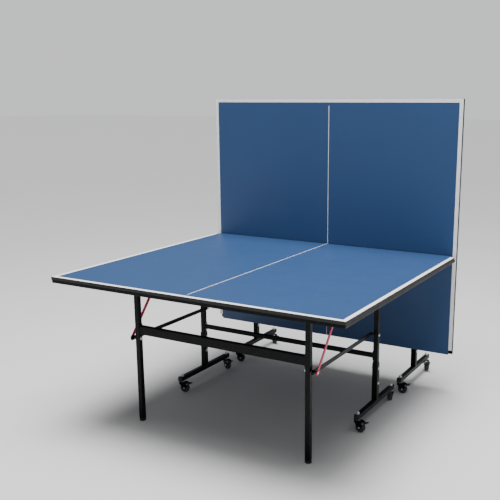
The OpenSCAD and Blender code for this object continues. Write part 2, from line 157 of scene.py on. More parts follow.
# Turns a profile of (radius, height) points, which starts and ends on the axis unless it is closed
def lathe(bm, profile, origin=(0, 0, 0), axis="z", flip=1, segments=32, slot=0, closed=False):
    rings = []
    for radius, height in profile:
        spots = ring(0, 0, radius, segments) if radius > 1e-7 else [(0, 0)]
        rings.append([bm.verts.new(along(axis, a, b, flip * height) + Vector(origin)) for a, b in spots])
    pairs = list(zip(rings, rings[1:] + rings[:1])) if closed else list(zip(rings, rings[1:]))
    for one, two in pairs:
        for i in range(segments):
            k = (i + 1) % segments
            corners = [one[i % len(one)], one[k % len(one)], two[k % len(two)], two[i % len(two)]]
            corners = list(dict.fromkeys(corners))
            if len(corners) > 2:
                bm.faces.new(corners).material_index = slot


# A plain pin or shaft with chamfered ends
def shaft(bm, x0, x1, y, z, radius, slot=0, axis="x", segments=24):
    low, high = sorted((x0, x1))
    cut = min(0.0006, radius * 0.2)
    origin = {"x": (0, y, z), "z": (y, z, 0), "y": (y, 0, z)}[axis]
    profile = [(0, low), (radius - cut, low), (radius, low + cut)]
    profile += [(radius, high - cut), (radius - cut, high), (0, high)]
    lathe(bm, profile, origin, axis, 1, segments, slot)


# Adds a copy of a finished small mesh
def stamp(bm, mesh, matrix, slot=0):
    before = len(bm.verts)
    faces = len(bm.faces)
    bm.from_mesh(mesh)
    bm.verts.ensure_lookup_table()
    bm.faces.ensure_lookup_table()
    bmesh.ops.transform(bm, matrix=matrix, verts=bm.verts[before:])
    for f in bm.faces[faces:]:
        f.material_index = slot


# Where a bolt head or nut sits: it stands along direction * x, scaled to radius and height
def facing(x, y, z, direction, radius, height):
    turn = Matrix.Rotation(math.radians(90 * direction), 4, "Y")
    return Matrix.Translation((x, y, z)) @ turn @ Matrix.Diagonal((radius, radius, height, 1))


def meshFrom(name, bm, materials=()):
    mesh = bpy.data.meshes.new(name)
    bm.to_mesh(mesh)
    bm.free()
    for m in materials:
        mesh.materials.append(m)
    return mesh


def bakeModifiers(piece):
    graph = bpy.context.evaluated_depsgraph_get()
    mesh = bpy.data.meshes.new_from_object(piece.evaluated_get(graph))
    piece.modifiers.clear()
    old = piece.data
    piece.data = mesh
    bpy.data.meshes.remove(old)
    mesh.name = piece.name
    return piece


sharpAngle = math.radians(38)


# Puts a finished shape in its place as one object. The drills cut its bores, then its edges are rounded.
def finishMesh(name, bm, place, materials, bevel=0.0004, drills=None, paint=None, segments=2):
    bmesh.ops.recalc_face_normals(bm, faces=bm.faces)
    if paint:
        bm.normal_update()
        for f in bm.faces:
            f.material_index = paint(f)
    for f in bm.faces:
        f.smooth = True
    if not bevel:
        for e in bm.edges:
            e.smooth = not e.is_manifold or e.calc_face_angle(0) < sharpAngle
    bmesh.ops.transform(bm, matrix=place, verts=bm.verts)
    piece = bpy.data.objects.new(name, meshFrom(name, bm, materials))
    bpy.context.scene.collection.objects.link(piece)
    cutter = None
    if drills:
        bmesh.ops.recalc_face_normals(drills, faces=drills.faces)
        bmesh.ops.transform(drills, matrix=place, verts=drills.verts)
        cutter = bpy.data.objects.new("drills", meshFrom("drills", drills))
        bpy.context.scene.collection.objects.link(cutter)
        bores = piece.modifiers.new("bores", "BOOLEAN")
        bores.operation = "DIFFERENCE"
        bores.solver = "EXACT"
        bores.use_self = True
        bores.object = cutter
    if bevel:
        edge = piece.modifiers.new("edges", "BEVEL")
        edge.width = bevel
        edge.segments = segments
        edge.limit_method = "ANGLE"
        edge.angle_limit = sharpAngle
        edge.use_clamp_overlap = False
    weighted = piece.modifiers.new("weightedNormal", "WEIGHTED_NORMAL")
    weighted.keep_sharp = True
    bakeModifiers(piece)
    if cutter:
        bpy.data.objects.remove(cutter)
    return piece


def attach(piece, body, slotName, *nodes):
    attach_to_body(piece, body)
    if nodes:
        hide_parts(*nodes)
    return piece


# Finishes one node of a half, such as front_edge_frame, in the place of the group that it moves with
def finishNode(half, group, node, slotName, bm, materials, bevel, drills=None, paint=None):
    title = half + node.title().replace("_", "")
    piece = finishMesh(title, bm, restPlace(half, group), materials, bevel, drills, paint)
    attach(piece, half + "_" + group, slotName, half + "_" + node)


# A small kit for materials: every pattern reads Object coordinates, so it stays put on its piece

def newMaterial(name, **fixed):
    mat = bpy.data.materials.new(name)
    mat.use_nodes = True
    shader = mat.node_tree.nodes["Principled BSDF"]
    for label, value in fixed.items():
        shader.inputs[label.replace("_", " ")].default_value = value
    return mat, mat.node_tree, shader


# Gives a socket a value, or links another node's output to it
def feed(socket, value):
    if isinstance(value, bpy.types.NodeSocket):
        socket.id_data.links.new(value, socket)
    else:
        socket.default_value = value


def addNode(tree, kind, settings=None, **sockets):
    node = tree.nodes.new(kind)
    for key, value in (settings or {}).items():
        setattr(node, key, value)
    for key, value in sockets.items():
        feed(node.inputs[key.replace("_", " ")], value)
    return node


def objectPoint(tree, stretch=(1, 1, 1)):
    point = tree.nodes.new("ShaderNodeTexCoord").outputs["Object"]
    return addNode(tree, "ShaderNodeMapping", Vector=point, Scale=stretch).outputs["Vector"]


def noise(tree, scale, detail=3.0, roughness=0.5, distortion=0.0, stretch=(1, 1, 1)):
    return addNode(tree, "ShaderNodeTexNoise", Vector=objectPoint(tree, stretch), Scale=scale, Detail=detail,
                   Roughness=roughness, Distortion=distortion).outputs["Fac"]


# Turns a 0 to 1 value into grey values or colours at the given stops
def ramp(tree, value, *stops):
    node = addNode(tree, "ShaderNodeValToRGB", Fac=value)
    points = node.color_ramp.elements
    while len(points) < len(stops):
        points.new(0.5)
    for point, (place, tone) in zip(points, stops):
        point.position = place
        point.color = (tone, tone, tone, 1) if isinstance(tone, (int, float)) else (*tone, 1)
    return node.outputs["Color"]


# Sockets 0, 6 and 7 are the amount and the two colours, and output 2 is the mixed colour
def mixColour(tree, amount, one, two):
    node = addNode(tree, "ShaderNodeMix", {"data_type": "RGBA"})
    for i, value in ((0, amount), (6, one), (7, two)):
        feed(node.inputs[i], (*value, 1) if isinstance(value, tuple) else value)
    return node.outputs[2]


def maths(tree, operation, one, two):
    node = addNode(tree, "ShaderNodeMath", {"operation": operation})
    feed(node.inputs[0], one)
    feed(node.inputs[1], two)
    return node.outputs["Value"]


def bumpFrom(tree, shader, *layers):
    normal = None
    for height, distance in layers:
        node = addNode(tree, "ShaderNodeBump", Height=height, Distance=distance)
        if normal:
            feed(node.inputs["Normal"], normal)
        normal = node.outputs["Normal"]
    feed(shader.inputs["Normal"], normal)


def setColour(shader, value):
    feed(shader.inputs["Base Color"], value)


def setRoughness(tree, shader, value, *stops):
    feed(shader.inputs["Roughness"], ramp(tree, value, *stops))


# Two close colours in patches of a slow noise
def patches(tree, value, one, two, high=0.7):
    return mixColour(tree, ramp(tree, value, (0.35, 0.0), (high, 1.0)), one, two)


# 1 along worn convex edges, 0 on flats
def edgeWear(tree, scale, amount):
    pointed = addNode(tree, "ShaderNodeNewGeometry").outputs["Pointiness"]
    convex = ramp(tree, pointed, (0.52, 0.0), (0.60, 1.0))
    spots = ramp(tree, noise(tree, scale, 4.0), (0.45, 0.0), (0.70, amount))
    return maths(tree, "MULTIPLY", convex, spots)


# Smooth matt play paint: a fine fibre grain under it, slow mottling and a few faint ball marks
boardPaint = {
    "colour": (0.0270, 0.072, 0.184),
    "mottle": (0.0252, 0.068, 0.175),
    "mark": (0.046, 0.098, 0.210),
    "roughness": (0.42, 0.50),
    "grainDepth": 0.00006,
}


def makeBoardBlue():
    mat, tree, shader = newMaterial("boardBlue", Specular_IOR_Level=0.40)
    slow = noise(tree, 2.2, 5.0, 0.55)
    base = patches(tree, slow, boardPaint["colour"], boardPaint["mottle"], 0.65)
    marks = noise(tree, 26.0, 2.0, 0.4, 0.6)
    faint = noise(tree, 3.1, 2.0)
    struck = ramp(tree, marks, (0.70, 0.0), (0.78, 1.0))
    where = maths(tree, "MULTIPLY", struck, ramp(tree, faint, (0.48, 0.0), (0.7, 0.35)))
    setColour(shader, mixColour(tree, where, base, boardPaint["mark"]))
    fine = noise(tree, 900.0, 3.0, 0.6)
    low, high = boardPaint["roughness"]
    setRoughness(tree, shader, noise(tree, 9.0, 6.0, 0.65), (0.3, low), (0.7, high))
    bumpFrom(tree, shader, (fine, boardPaint["grainDepth"]), (slow, 0.00012))
    return mat


def makeLinePaint():
    mat, tree, shader = newMaterial("linePaint", Specular_IOR_Level=0.5)
    worn = noise(tree, 60.0, 5.0, 0.7)
    setColour(shader, ramp(tree, worn, (0.25, (0.90, 0.91, 0.93)), (0.55, (0.98, 0.98, 0.98))))
    setRoughness(tree, shader, worn, (0.3, 0.62), (0.7, 0.48))
    bumpFrom(tree, shader, (noise(tree, 1100.0), 0.00005))
    return mat


# Black sealing paint on the edge and the back of the fibreboard, with fibres showing through
def makeBoardSeal():
    mat, tree, shader = newMaterial("boardSeal", Specular_IOR_Level=0.35)
    fibres = noise(tree, 420.0, 6.0, 0.7, 0.4, stretch=(1, 0.35, 1))
    flecks = noise(tree, 130.0, 2.0, 0.4)
    base = ramp(tree, fibres, (0.3, (0.012, 0.012, 0.014)), (0.75, (0.030, 0.029, 0.028)))
    show = ramp(tree, flecks, (0.66, 0.0), (0.74, 0.5))
    setColour(shader, mixColour(tree, show, base, (0.075, 0.062, 0.050)))
    setRoughness(tree, shader, fibres, (0.3, 0.55), (0.7, 0.78))
    bumpFrom(tree, shader, (fibres, 0.00018), (flecks, 0.00012))
    return mat


# Powder coat: an orange-peel skin with slightly rubbed edges
powderCoat = {
    "colour": (0.0010, 0.0013, 0.0018),
    "light": (0.0024, 0.0028, 0.0035),
    "rubbed": (0.035, 0.035, 0.035),
}


def makeFrameBlack():
    mat, tree, shader = newMaterial("frameBlack", Specular_IOR_Level=0.11)
    peel = noise(tree, 520.0, 2.0, 0.45)
    cloud = noise(tree, 14.0, 5.0, 0.6)
    base = patches(tree, cloud, powderCoat["colour"], powderCoat["light"])
    setColour(shader, mixColour(tree, edgeWear(tree, 90.0, 0.55), base, powderCoat["rubbed"]))
    setRoughness(tree, shader, cloud, (0.3, 0.30), (0.7, 0.42))
    bumpFrom(tree, shader, (peel, 0.00005))
    return mat


lockEnamel = {"colour": (0.70, 0.003, 0.085), "deep": (0.58, 0.002, 0.068), "chip": (0.11, 0.10, 0.10)}


def makeLockRed():
    mat, tree, shader = newMaterial("lockRed", Specular_IOR_Level=0.3, Coat_Weight=0.12, Coat_Roughness=0.18)
    cloud = noise(tree, 24.0, 4.0, 0.55)
    base = patches(tree, cloud, lockEnamel["colour"], lockEnamel["deep"])
    setColour(shader, mixColour(tree, edgeWear(tree, 120.0, 0.9), base, lockEnamel["chip"]))
    setRoughness(tree, shader, cloud, (0.3, 0.30), (0.7, 0.42))
    bumpFrom(tree, shader, (noise(tree, 420.0, 2.0), 0.00009))
    return mat


# Bright zinc plating with turning marks round the bolts' own axis, which lies along x
def makeZinc():
    mat, tree, shader = newMaterial("zinc", Metallic=1.0)
    streak = noise(tree, 260.0, 4.0, 0.6, stretch=(14, 1, 1))
    bloom = noise(tree, 110.0, 5.0, 0.65)
    tones = ((0.3, (0.50, 0.51, 0.53)), (0.6, (0.74, 0.75, 0.77)), (0.85, (0.66, 0.62, 0.56)))
    setColour(shader, ramp(tree, bloom, *tones))
    setRoughness(tree, shader, bloom, (0.3, 0.42), (0.75, 0.22))
    bumpFrom(tree, shader, (streak, 0.00005))
    return mat


# Grey tyre tread with dust worked into it
def makeWheelRubber():
    mat, tree, shader = newMaterial("wheelRubber", Specular_IOR_Level=0.3)
    dust = noise(tree, 95.0, 6.0, 0.7)
    tones = ((0.35, (0.040, 0.041, 0.044)), (0.62, (0.085, 0.084, 0.082)), (0.8, (0.19, 0.18, 0.165)))
    setColour(shader, ramp(tree, dust, *tones))
    setRoughness(tree, shader, dust, (0.3, 0.62), (0.8, 0.9))
    bumpFrom(tree, shader, (noise(tree, 700.0, 4.0, 0.7), 0.00016), (dust, 0.0002))
    return mat


# Moulded plastic with a spark-eroded grain
def makePlastic(name, dark, light, grain=640.0, rough=(0.42, 0.58)):
    mat, tree, shader = newMaterial(name, Specular_IOR_Level=0.45)
    cells = addNode(tree, "ShaderNodeTexVoronoi", Vector=objectPoint(tree), Scale=grain).outputs["Distance"]
    cloud = noise(tree, 38.0, 4.0, 0.6)
    base = ramp(tree, cloud, (0.3, dark), (0.75, light))
    worn = tuple(3 * c + 0.03 for c in light)
    setColour(shader, mixColour(tree, edgeWear(tree, 150.0, 0.35), base, worn))
    setRoughness(tree, shader, cloud, (0.3, rough[0]), (0.75, rough[1]))
    bumpFrom(tree, shader, (cells, 0.00008))
    return mat


boardBlue = makeBoardBlue()
linePaintWhite = makeLinePaint()
boardSeal = makeBoardSeal()
frameBlack = makeFrameBlack()
lockRed = makeLockRed()
zinc = makeZinc()
wheelRubber = makeWheelRubber()
hubGrey = makePlastic("hubGrey", (0.045, 0.047, 0.050), (0.075, 0.077, 0.080))
plugBlack = makePlastic("plugBlack", (0.010, 0.010, 0.011), (0.022, 0.022, 0.023))
pedalBlack = makePlastic("pedalBlack", (0.014, 0.014, 0.016), (0.030, 0.031, 0.033), 520.0)
footRubber = makePlastic("footRubber", (0.018, 0.018, 0.019), (0.038, 0.037, 0.036), 420.0, (0.62, 0.82))
print("materials made")


# Geometry Nodes trees. Each has named inputs and ends in Realize Instances and Set Material.

def newTree(name, **inputs):
    tree = bpy.data.node_groups.new(name, "GeometryNodeTree")
    tree.is_modifier = True
    tree.interface.new_socket("Geometry", in_out="INPUT", socket_type="NodeSocketGeometry")
    for label, kind in [*inputs.items(), ("Material", "Material")]:
        tree.interface.new_socket(label, in_out="INPUT", socket_type="NodeSocket" + kind)
    tree.interface.new_socket("Geometry", in_out="OUTPUT", socket_type="NodeSocketGeometry")
    return tree, tree.nodes.new("NodeGroupInput").outputs


def endTree(tree, geometry, material):
    realized = addNode(tree, "GeometryNodeRealizeInstances", Geometry=geometry).outputs["Geometry"]
    smooth = addNode(tree, "GeometryNodeSetShadeSmooth", Geometry=realized).outputs["Geometry"]
    painted = addNode(tree, "GeometryNodeSetMaterial", Geometry=smooth, Material=material)
    feed(tree.nodes.new("NodeGroupOutput").inputs["Geometry"], painted.outputs["Geometry"])
    return tree


def placeOn(tree, points, instance, **more):
    node = addNode(tree, "GeometryNodeInstanceOnPoints", Points=points, Instance=instance, **more)
    return node.outputs["Instances"]


# Welds: overlapping ripples laid along every loop and line of the piece
def makeBeadTree():
    tree, given = newTree("weldBead", Ripple="Float", Pitch="Float", Seed="Int")
    curve = addNode(tree, "GeometryNodeMeshToCurve", Mesh=given["Geometry"]).outputs["Curve"]
    spots = addNode(tree, "GeometryNodeResampleCurve", {"mode": "LENGTH"}, Curve=curve,
                    Length=given["Pitch"])
    drop = addNode(tree, "GeometryNodeMeshUVSphere", Segments=8, Rings=5, Radius=given["Ripple"])
    turn = addNode(tree, "FunctionNodeAlignRotationToVector", {"axis": "Z"},
                   Vector=tree.nodes.new("GeometryNodeInputTangent").outputs["Tangent"])
    size = addNode(tree, "FunctionNodeRandomValue", {"data_type": "FLOAT_VECTOR"}, Seed=given["Seed"])
    size.inputs["Min"].default_value = (0.86, 0.86, 0.62)
    size.inputs["Max"].default_value = (1.12, 1.12, 0.82)
    placed = placeOn(tree, spots.outputs["Curve"], drop.outputs["Mesh"], Rotation=turn.outputs["Rotation"],
                     Scale=size.outputs["Value"])
    return endTree(tree, placed, given["Material"])


# Screws: evenly spaced heads on the piece's lines, no further apart than Spacing, all facing the same way
def makeScrewTree():
    tree, given = newTree("screwRow", Spacing="Float", Head="Object", Seed="Int")
    curve = addNode(tree, "GeometryNodeMeshToCurve", Mesh=given["Geometry"]).outputs["Curve"]
    length = tree.nodes.new("GeometryNodeSplineLength").outputs["Length"]
    gaps = maths(tree, "CEIL", maths(tree, "DIVIDE", length, given["Spacing"]), 0)
    spots = addNode(tree, "GeometryNodeResampleCurve", {"mode": "COUNT"}, Curve=curve,
                    Count=maths(tree, "ADD", gaps, 1))
    head = addNode(tree, "GeometryNodeObjectInfo", Object=given["Head"]).outputs["Geometry"]
    spin = addNode(tree, "FunctionNodeRandomValue", {"data_type": "FLOAT_VECTOR"}, Seed=given["Seed"])
    spin.inputs["Max"].default_value = (0, 0, 2 * math.pi)
    placed = placeOn(tree, spots.outputs["Curve"], head, Rotation=spin.outputs["Value"])
    return endTree(tree, placed, given["Material"])


# Ribs: Count blocks in a ring round z, such as the webs of a wheel or the grips of a foot
def makeRibTree():
    tree, given = newTree("ribRing", Count="Int", Ring="Float", Rib="Vector", Lift="Float")
    circle = addNode(tree, "GeometryNodeMeshCircle", Vertices=given["Count"], Radius=given["Ring"])
    rib = addNode(tree, "GeometryNodeMeshCube", Size=given["Rib"]).outputs["Mesh"]
    turn = addNode(tree, "FunctionNodeAlignRotationToVector", {"axis": "X"},
                   Vector=tree.nodes.new("GeometryNodeInputPosition").outputs["Position"])
    placed = placeOn(tree, circle.outputs["Mesh"], rib, Rotation=turn.outputs["Rotation"])
    height = addNode(tree, "ShaderNodeCombineXYZ", Z=given["Lift"])
    raised = addNode(tree, "GeometryNodeTransform", Geometry=placed, Translation=height.outputs["Vector"])
    return endTree(tree, raised.outputs["Geometry"], given["Material"])


# Grip bars: Count round bars in a row along x, each lying along y
def makeGripTree():
    tree, given = newTree("gripRow", Count="Int", Start="Vector", Step="Vector", Bar="Float", Length="Float")
    line = addNode(tree, "GeometryNodeMeshLine", Count=given["Count"], Offset=given["Step"],
                   Start_Location=given["Start"])
    bar = addNode(tree, "GeometryNodeMeshCylinder", Vertices=10, Radius=given["Bar"], Depth=given["Length"])
    placed = placeOn(tree, line.outputs["Mesh"], bar.outputs["Mesh"], Rotation=(math.pi / 2, 0, 0))
    return endTree(tree, placed, given["Material"])


beadTree = makeBeadTree()
screwTree = makeScrewTree()
ribTree = makeRibTree()
gripTree = makeGripTree()


# Runs a tree on a mesh and keeps the result as a plain mesh in its place
def grow(name, tree, place, material, lines=(), **values):
    bm = bmesh.new()
    for points, closed in lines:
        verts = [bm.verts.new(p) for p in points]
        for one, two in zip(verts, verts[1:] + (verts[:1] if closed else [])):
            bm.edges.new((one, two))
    piece = bpy.data.objects.new(name, meshFrom(name, bm))
    bpy.context.scene.collection.objects.link(piece)
    mod = piece.modifiers.new(tree.name, "NODES")
    mod.node_group = tree
    for item in tree.interface.items_tree:
        if item.in_out == "INPUT" and item.name in values:
            mod[item.identifier] = values[item.name]
        if item.in_out == "INPUT" and item.name == "Material":
            mod[item.identifier] = material
    bakeModifiers(piece)
    piece.data.transform(place)
    return piece


def asTemplate(piece):
    mesh = piece.data
    bpy.data.objects.remove(piece)
    return mesh


# Heads and nuts have radius 1 and height 1 and stand on z = 0; facing() gives each its real size
def makeRoundHead():
    bm = bmesh.new()
    dome = [(math.sin(math.radians(a)), 0.22 + 0.78 * math.cos(math.radians(a))) for a in (78, 64, 50, 38)]
    lathe(bm, [(0, 0), (0.95, 0), (1, 0.06), (1, 0.24)] + dome + [(0, 0.88)], segments=24)
    drills = bmesh.new()
    plate(drills, [ring(0, 0, 0.40, 6)], 0.30, 1.5)
    return asTemplate(finishMesh("roundHead", bm, Matrix(), (), 0, drills))


# Locking nut on its washer, with the end of the thread standing out
def makeLockNut():
    bm = bmesh.new()
    lathe(bm, [(0, 0), (1.22, 0), (1.27, 0.05), (1.27, 0.13), (1.22, 0.17), (0, 0.17)], segments=28)
    layers = [[bm.verts.new((x, y, h)) for x, y in ring(0, 0, r, 6)]
              for h, r in ((0.17, 0.93), (0.23, 1.0), (0.66, 1.0), (0.73, 0.9))]
    bm.faces.new(layers[0])
    bm.faces.new(layers[-1])
    for one, two in zip(layers, layers[1:]):
        for i in range(6):
            bm.faces.new((one[i], one[(i + 1) % 6], two[(i + 1) % 6], two[i]))
    lathe(bm, [(0, 0.70), (0.80, 0.70), (0.80, 0.82), (0.72, 0.88), (0.52, 0.88), (0.52, 0.93),
               (0.48, 0.97), (0.40, 1.0), (0, 1.0)], segments=24)
    return asTemplate(finishMesh("lockNut", bm, Matrix(), (), 0))


# Wood screw head with a cross recess, hanging down from z = 0
screw = {"radius": 0.0043, "height": 0.0024, "spacing": 0.185, "fromRim": 0.020, "fromCorner": 0.080}


def makeScrewHead():
    bm = bmesh.new()
    r, h = screw["radius"], screw["height"]
    profile = [(0, 0), (0.97, 0), (1, 0.1), (0.97, 0.4), (0.8, 0.8), (0.5, 1), (0, 1)]
    lathe(bm, [(r * a, -h * b) for a, b in profile], segments=16)
    drills = bmesh.new()
    for a, b in ((0.62, 0.13), (0.13, 0.62)):
        slit = [(-r * a, -r * b), (r * a, -r * b), (r * a, r * b), (-r * a, r * b)]
        plate(drills, [slit], -2 * h, -0.45 * h)
    return finishMesh("screwHead", bm, Matrix(), (), 0, drills)


roundHead = makeRoundHead()
lockNut = makeLockNut()
screwHead = makeScrewHead()


def addHead(bm, x, y, z, direction, radius, height, slot=0):
    stamp(bm, roundHead, facing(x, y, z, direction, radius, height), slot)


def addNut(bm, x, y, z, direction, radius, height, slot=0):
    stamp(bm, lockNut, facing(x, y, z, direction, radius * 0.9, height), slot)


# Tube bushing round a bolt along x
def addSpacer(bm, x0, x1, y, z, outer, inner, slot=0):
    low, high = sorted((x0, x1))
    c = 0.0004
    profile = [(inner, low), (outer - c, low), (outer, low + c)]
    profile += [(outer, high - c), (outer - c, high), (inner, high)]
    lathe(bm, profile, (0, y, z), "x", 1, 28, slot, closed=True)


def drillX(drills, x0, x1, y, z, radius):
    plate(drills, [ring(y, z, radius, 28)], x0, x1, "x")


# The bead is its ripple's radius and its pitch
def weld(half, group, title, lines, bead, seed):
    ripple, pitch = bead
    place = restPlace(half, group)
    piece = grow(half + title, beadTree, place, frameBlack, lines, Ripple=ripple, Pitch=pitch, Seed=seed)
    attach(piece, half + "_" + group, "frame_black")


tube = {"wall": 0.0015, "corner": 0.003, "plug": 0.0014, "bevel": 0.0003}


def tubeOutlines(size, cx=0, cy=0, wall=None):
    wall = wall or tube["wall"]
    inner = size - 2 * wall
    return [roundRect(size, size, tube["corner"], 5, cx, cy),
            roundRect(inner, inner, max(tube["corner"] - wall, 0.0008), 5, cx, cy)]


# Plastic plug in the end of a square tube, with a low pillow top
def addPlug(bm, size, cx, cy, level, flip=1, axis="z", slot=1):
    lift = tube["plug"]
    layers = []
    pillow = ((0.985, 0), (0.985, lift * 0.6), (0.93, lift * 0.95), (0.6, lift * 1.15))
    for scale, h in ((0.86, -0.004), (0.86, 0)) + pillow:
        outline = roundRect(size * scale, size * scale, tube["corner"] * min(1, scale), 5, cx, cy)
        layers.append([bm.verts.new(along(axis, a, b, level + flip * h)) for a, b in outline])
    bm.faces.new(layers[0]).material_index = slot
    bm.faces.new(layers[-1]).material_index = slot
    for one, two in zip(layers, layers[1:]):
        for i in range(len(one)):
            k = (i + 1) % len(one)
            bm.faces.new((one[i], one[k], two[k], two[i])).material_index = slot


# Board: blue on its playing face, sealed black on its edges and back, with notches beside the net edge
board = {"notchWidth": 0.022, "notchLength": 0.025, "edge": 0.0007, "line": 0.020, "centreLine": 0.003,
         "centreGap": 0.018, "paint": 0.00016}


def makeBoard(half):
    side, n, m = tableWidth / 2, board["notchWidth"], board["notchLength"]
    rim = [(n - side, 0), (side - n, 0), (side - n, m), (side, m),
           (side, halfLength), (-side, halfLength), (-side, m), (n - side, m)]
    bm = bmesh.new()
    plate(bm, [rim], underZ, topZ)
    finishNode(half, "top", "board", "board_blue", bm, (boardBlue, boardSeal), board["edge"],
               paint=lambda f: 0 if f.normal.z > 0.9 else 1)
    outer, inner, centre = side - board["edge"], side - board["line"], board["centreLine"] / 2
    far, near, start = halfLength - board["edge"], halfLength - board["line"], m + board["edge"]
    bm = bmesh.new()
    low, high = topZ - board["paint"], topZ + board["paint"]
    plate(bm, [[(outer, start), (outer, far), (-outer, far), (-outer, start),
                (-inner, start), (-inner, near), (inner, near), (inner, start)]], low, high)
    end = near - board["centreGap"]
    edge = board["edge"]
    plate(bm, [[(-centre, edge), (centre, edge), (centre, end), (-centre, end)]], low, high)
    piece = finishMesh(half + "Lines", bm, restPlace(half, "top"), (linePaintWhite,), 0)
    attach(piece, half + "_top", None)


# Frame under the rim: four folded channels mitred and welded at the corners
edgeRail = {"sheet": 0.0015, "width": 0.030, "inset": 0.002, "bend": 0.0024, "edge": 0.0003,
            "bead": (0.0011, 0.0014)}


def makeEdgeFrame(half):
    t, w, r = edgeRail["sheet"], edgeRail["width"], edgeRail["bend"]
    h = underZ - railZ
    section = [(w, 0)] + arc(r, r, r, 270, 180, 4) + arc(r, h - r, r, 180, 90, 4) + [(w, h), (w, h - t)]
    section += arc(r, h - r, r - t, 90, 180, 3) + arc(r, r, r - t, 180, 270, 3) + [(w, t)]
    wide, long = tableWidth / 2 - edgeRail["inset"], halfLength / 2 - edgeRail["inset"]
    corners = [(1, 1), (-1, 1), (-1, -1), (1, -1)]
    bm = bmesh.new()

    def corner(sx, sy, d, z=0.0):
        return Vector((sx * (wide - d), halfLength / 2 + sy * (long - d), railZ + z))

    rings = [[bm.verts.new(corner(sx, sy, d, z)) for d, z in section] for sx, sy in corners]
    for c in range(4):
        one, two = rings[c], rings[(c + 1) % 4]
        for i in range(len(section)):
            k = (i + 1) % len(section)
            bm.faces.new((one[i], one[k], two[k], two[i]))
    finishNode(half, "top", "edge_frame", "frame_black", bm, (frameBlack,), edgeRail["edge"])
    top = restPlace(half, "top")
    seams = [([corner(sx, sy, r), corner(sx, sy, w)], False) for sx, sy in corners]
    weld(half, "top", "FrameWelds", seams, edgeRail["bead"], 3)
    side, rim, end = tableWidth / 2, screw["fromRim"], screw["fromCorner"]
    rows = [([(end - side, y, railZ), (side - end, y, railZ)], False) for y in (rim, halfLength - rim)]
    for x in (rim - side, side - rim):
        rows.append(([(x, end, railZ), (x, halfLength - end, railZ)], False))
    screws = grow(half + "FrameScrews", screwTree, top, zinc, rows, Spacing=screw["spacing"], Head=screwHead,
                  Seed=7)
    attach(screws, half + "_top", "zinc")


# Brackets under the board: a plate with two welded ears for each tube, and an angle for each lock bar
bracket = {"sheet": 0.003, "earWidth": 0.034, "slack": 0.001, "wing": 0.015, "lockEar": 0.026,
           "lockFoot": 0.030, "lockGap": 0.001, "edge": 0.0005, "bead": (0.0016, 0.0018),
           "fit": 0.00006, "hingePin": 0.005, "pin": 0.004}


def addFork(bm, x, y, pinRadius, beads):
    gap, t, r = tubeSize + bracket["slack"], bracket["sheet"], bracket["earWidth"] / 2
    ear = arc(y, hingeZ, r, 180, 360, 18) + [(y + r, underZ - t * 0.5), (y - r, underZ - t * 0.5)]
    for side in (-1, 1):
        face = x + side * (gap / 2 + t)
        plate(bm, [ear, ring(y, hingeZ, pinRadius + bracket["fit"], 28)], x + side * gap / 2, face, "x")
        beads.append(([(face, y - r * 0.86, underZ - t), (face, y + r * 0.86, underZ - t)], False))
    wide = gap + 2 * t + 2 * bracket["wing"]
    plate(bm, [roundRect(wide, 2 * r, 0.004, 4, x, y)], underZ - t, underZ)
    return [(x + side * (wide / 2 - 0.008), y) for side in (-1, 1)]


def makeHingeBrackets(half):
    bm = bmesh.new()
    beads, screws = [], []
    t = bracket["sheet"]
    for s in (-1, 1):
        screws += addFork(bm, s * postX, hingeY, bracket["hingePin"], beads)
        screws += addFork(bm, s * legX, legY, bracket["pin"], beads)
        inner = lockX[1] + bracket["lockGap"]
        r = bracket["lockEar"] / 2
        ear = arc(lockY, lockZ, r, 180, 360, 16)
        ear += [(lockY + r, underZ - t * 0.5), (lockY - r, underZ - t * 0.5)]
        bore = ring(lockY, lockZ, bracket["pin"] + bracket["fit"], 28)
        plate(bm, [ear, bore], s * inner, s * (inner + t), "x")
        foot = roundRect(bracket["lockFoot"], 2 * r, 0.003, 4, s * (inner + bracket["lockFoot"] / 2), lockY)
        plate(bm, [foot], underZ - t, underZ)
        face = s * (inner + t)
        beads.append(([(face, lockY - r * 0.8, underZ - t), (face, lockY + r * 0.8, underZ - t)], False))
        screws.append((s * (inner + 0.020), lockY))
    finishNode(half, "top", "hinge_brackets", "frame_black", bm, (frameBlack,), bracket["edge"])
    top = restPlace(half, "top")
    weld(half, "top", "BracketWelds", beads, bracket["bead"], 5)
    bm = bmesh.new()
    for i, (x, y) in enumerate(screws):
        turn = Matrix.Rotation(0.7 + 1.3 * i, 4, "Z")
        larger = Matrix.Diagonal((1.15, 1.15, 1.1, 1))
        stamp(bm, screwHead.data, Matrix.Translation((x, y, underZ - t)) @ turn @ larger)
    attach(finishMesh(half + "BracketScrews", bm, top, (zinc,), 0), half + "_top", "zinc")


# Radius and height of every bolt head and nut, and the play they leave
bolts = {
    "gap": 0.0003,
    "spacer": 0.0070,
    "hinge": ((0.0090, 0.0035), (0.0085, 0.0058)),
    "legHinge": ((0.0080, 0.0034), (0.0074, 0.0050)),
    "lockHead": (0.0070, 0.0030),
    "lockNut": (0.0072, 0.0055),
    "legHead": (0.0082, 0.0046),
    "legNut": (0.0078, 0.0064),
    "postHead": (0.0082, 0.0052),
    "stayNut": (0.0072, 0.0046),
    "sleeveNut": (0.0076, 0.0056),
    "crossHead": (0.0053, 0.0036),
    "crossShank": 0.0029,
    "stemNut": (0.0080, 0.0130),
}


